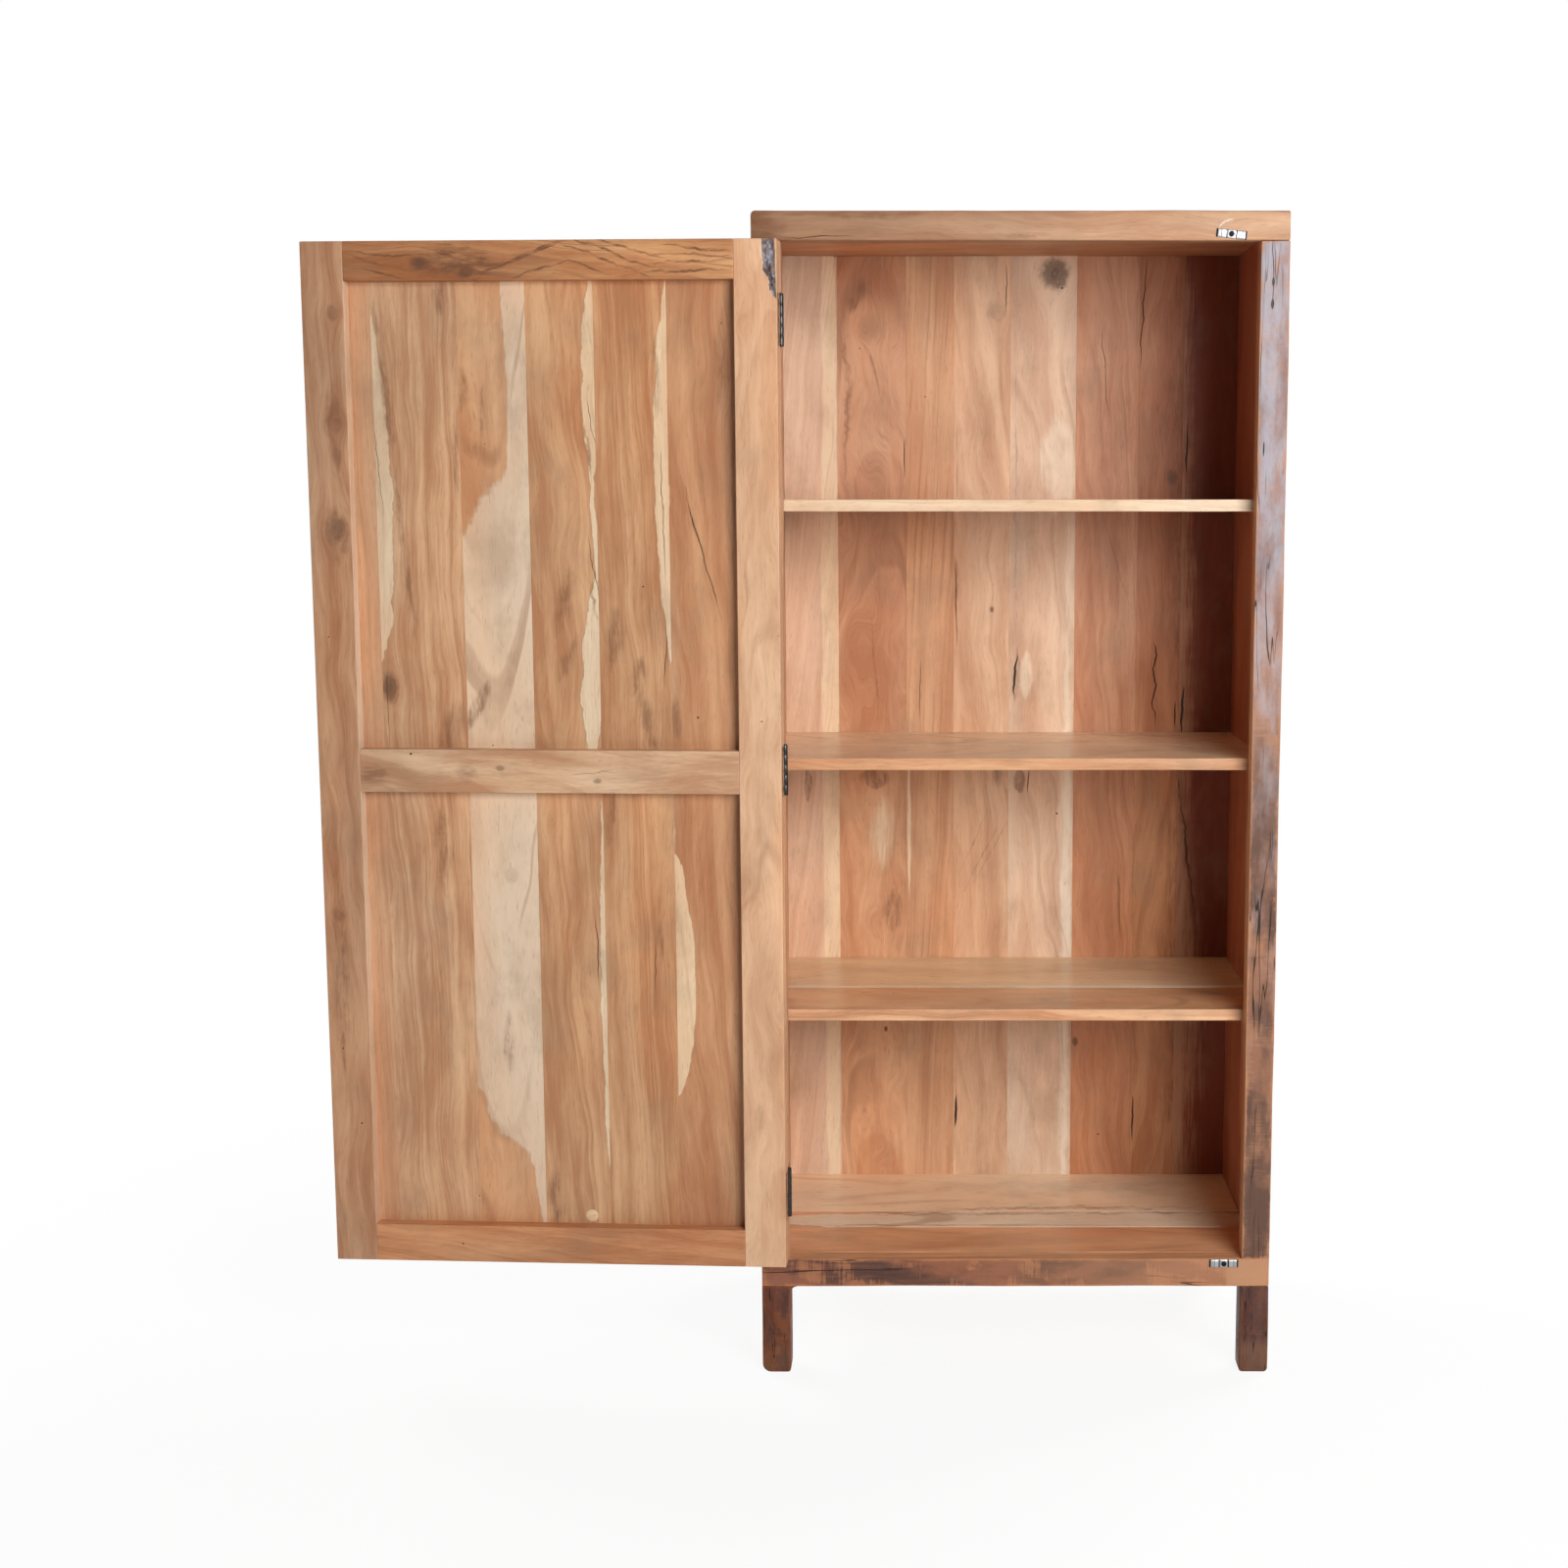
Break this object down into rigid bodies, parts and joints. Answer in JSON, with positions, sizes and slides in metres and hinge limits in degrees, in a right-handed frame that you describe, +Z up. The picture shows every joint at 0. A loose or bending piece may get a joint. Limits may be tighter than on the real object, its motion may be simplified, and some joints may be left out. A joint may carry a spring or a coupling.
{
  "type": "cupboard",
  "caption": "Tall narrow cupboard of old hardwood boards on short legs, with a framed board door on butt hinges, housed shelves and turn buttons that hold the door shut.",
  "frame": {"origin": "on the floor under the middle of the object's box, with the door open as pictured", "axes": "+Z up, +X to the right seen from the front, +Y from the front to the back"},
  "size_m": [1.448, 0.4725, 1.774],
  "materials": {
    "planed_wood": "planed, oiled hardwood",
    "pale_wood": "bare pale wood",
    "weathered_wood": "old dark weathered face",
    "hinge_steel": "dark, worn bright on the barrel",
    "button_steel": "bright zinc plate"
  },
  "bodies": {
    "carcase": {"back_board_1": "planed_wood", "back_board_2": "planed_wood", "back_board_3": "planed_wood", "back_board_4": "planed_wood", "back_board_5": "planed_wood", "back_board_6": "planed_wood", "back_board_7": "planed_wood", "back_board_8": "planed_wood", "button_screws": "button_steel", "floor_front_board": "planed_wood", "floor_middle_board": "planed_wood", "floor_rear_board": "planed_wood", "frame_leaf_screws": "hinge_steel", "front_bottom_rail": "weathered_wood", "front_top_rail": "planed_wood", "hinge_pins": "hinge_steel", "left_base_rail": "weathered_wood", "left_front_leg": "weathered_wood", "left_front_stile": "weathered_wood", "left_rear_leg": "weathered_wood", "left_side_front_board": "weathered_wood", "left_side_rear_board": "weathered_wood", "lower_frame_hinge_leaf": "hinge_steel", "lower_shelf_front_board": "planed_wood", "lower_shelf_rear_board": "planed_wood", "middle_frame_hinge_leaf": "hinge_steel", "middle_shelf_front_board": "planed_wood", "middle_shelf_rear_board": "planed_wood", "rear_bottom_rail": "weathered_wood", "right_base_rail": "weathered_wood", "right_front_leg": "weathered_wood", "right_front_stile": "weathered_wood", "right_rear_leg": "weathered_wood", "right_side_front_board": "weathered_wood", "right_side_rear_board": "weathered_wood", "top_front_board": "weathered_wood", "top_rear_board": "weathered_wood", "upper_frame_hinge_leaf": "hinge_steel", "upper_shelf_front_board": "planed_wood", "upper_shelf_rear_board": "planed_wood"},
    "door": {"door_bottom_rail": "planed_wood", "door_free_stile": "planed_wood", "door_hinge_stile": "planed_wood", "door_leaf_screws": "hinge_steel", "door_mid_rail": "planed_wood", "door_panel_board_1": "planed_wood", "door_panel_board_2": "planed_wood", "door_panel_board_3": "planed_wood", "door_panel_board_4": "planed_wood", "door_panel_board_5": "planed_wood", "door_panel_board_6": "planed_wood", "door_panel_plug": "pale_wood", "door_top_rail": "planed_wood", "lower_door_hinge_leaf": "hinge_steel", "middle_door_hinge_leaf": "hinge_steel", "upper_door_hinge_leaf": "hinge_steel"},
    "top_turn_button": {"top_turn_button": "button_steel"},
    "bottom_turn_button": {"bottom_turn_button": "button_steel"}
  },
  "joints": [
    {"name": "door_swing", "type": "hinge", "parent": "carcase", "child": "door", "pos_m": [-0.02198, -0.19803, 0.95], "axis": [0, 0, 1], "range_deg": [-6, 183]},
    {"name": "top_button_turn", "type": "hinge", "parent": "carcase", "child": "top_turn_button", "pos_m": [0.63702, -0.19373, 1.74], "axis": [0, 1, 0], "continuous": true},
    {"name": "bottom_button_turn", "type": "hinge", "parent": "carcase", "child": "bottom_turn_button", "pos_m": [0.65302, -0.19373, 0.177], "axis": [0, 1, 0], "continuous": true}
  ]
}
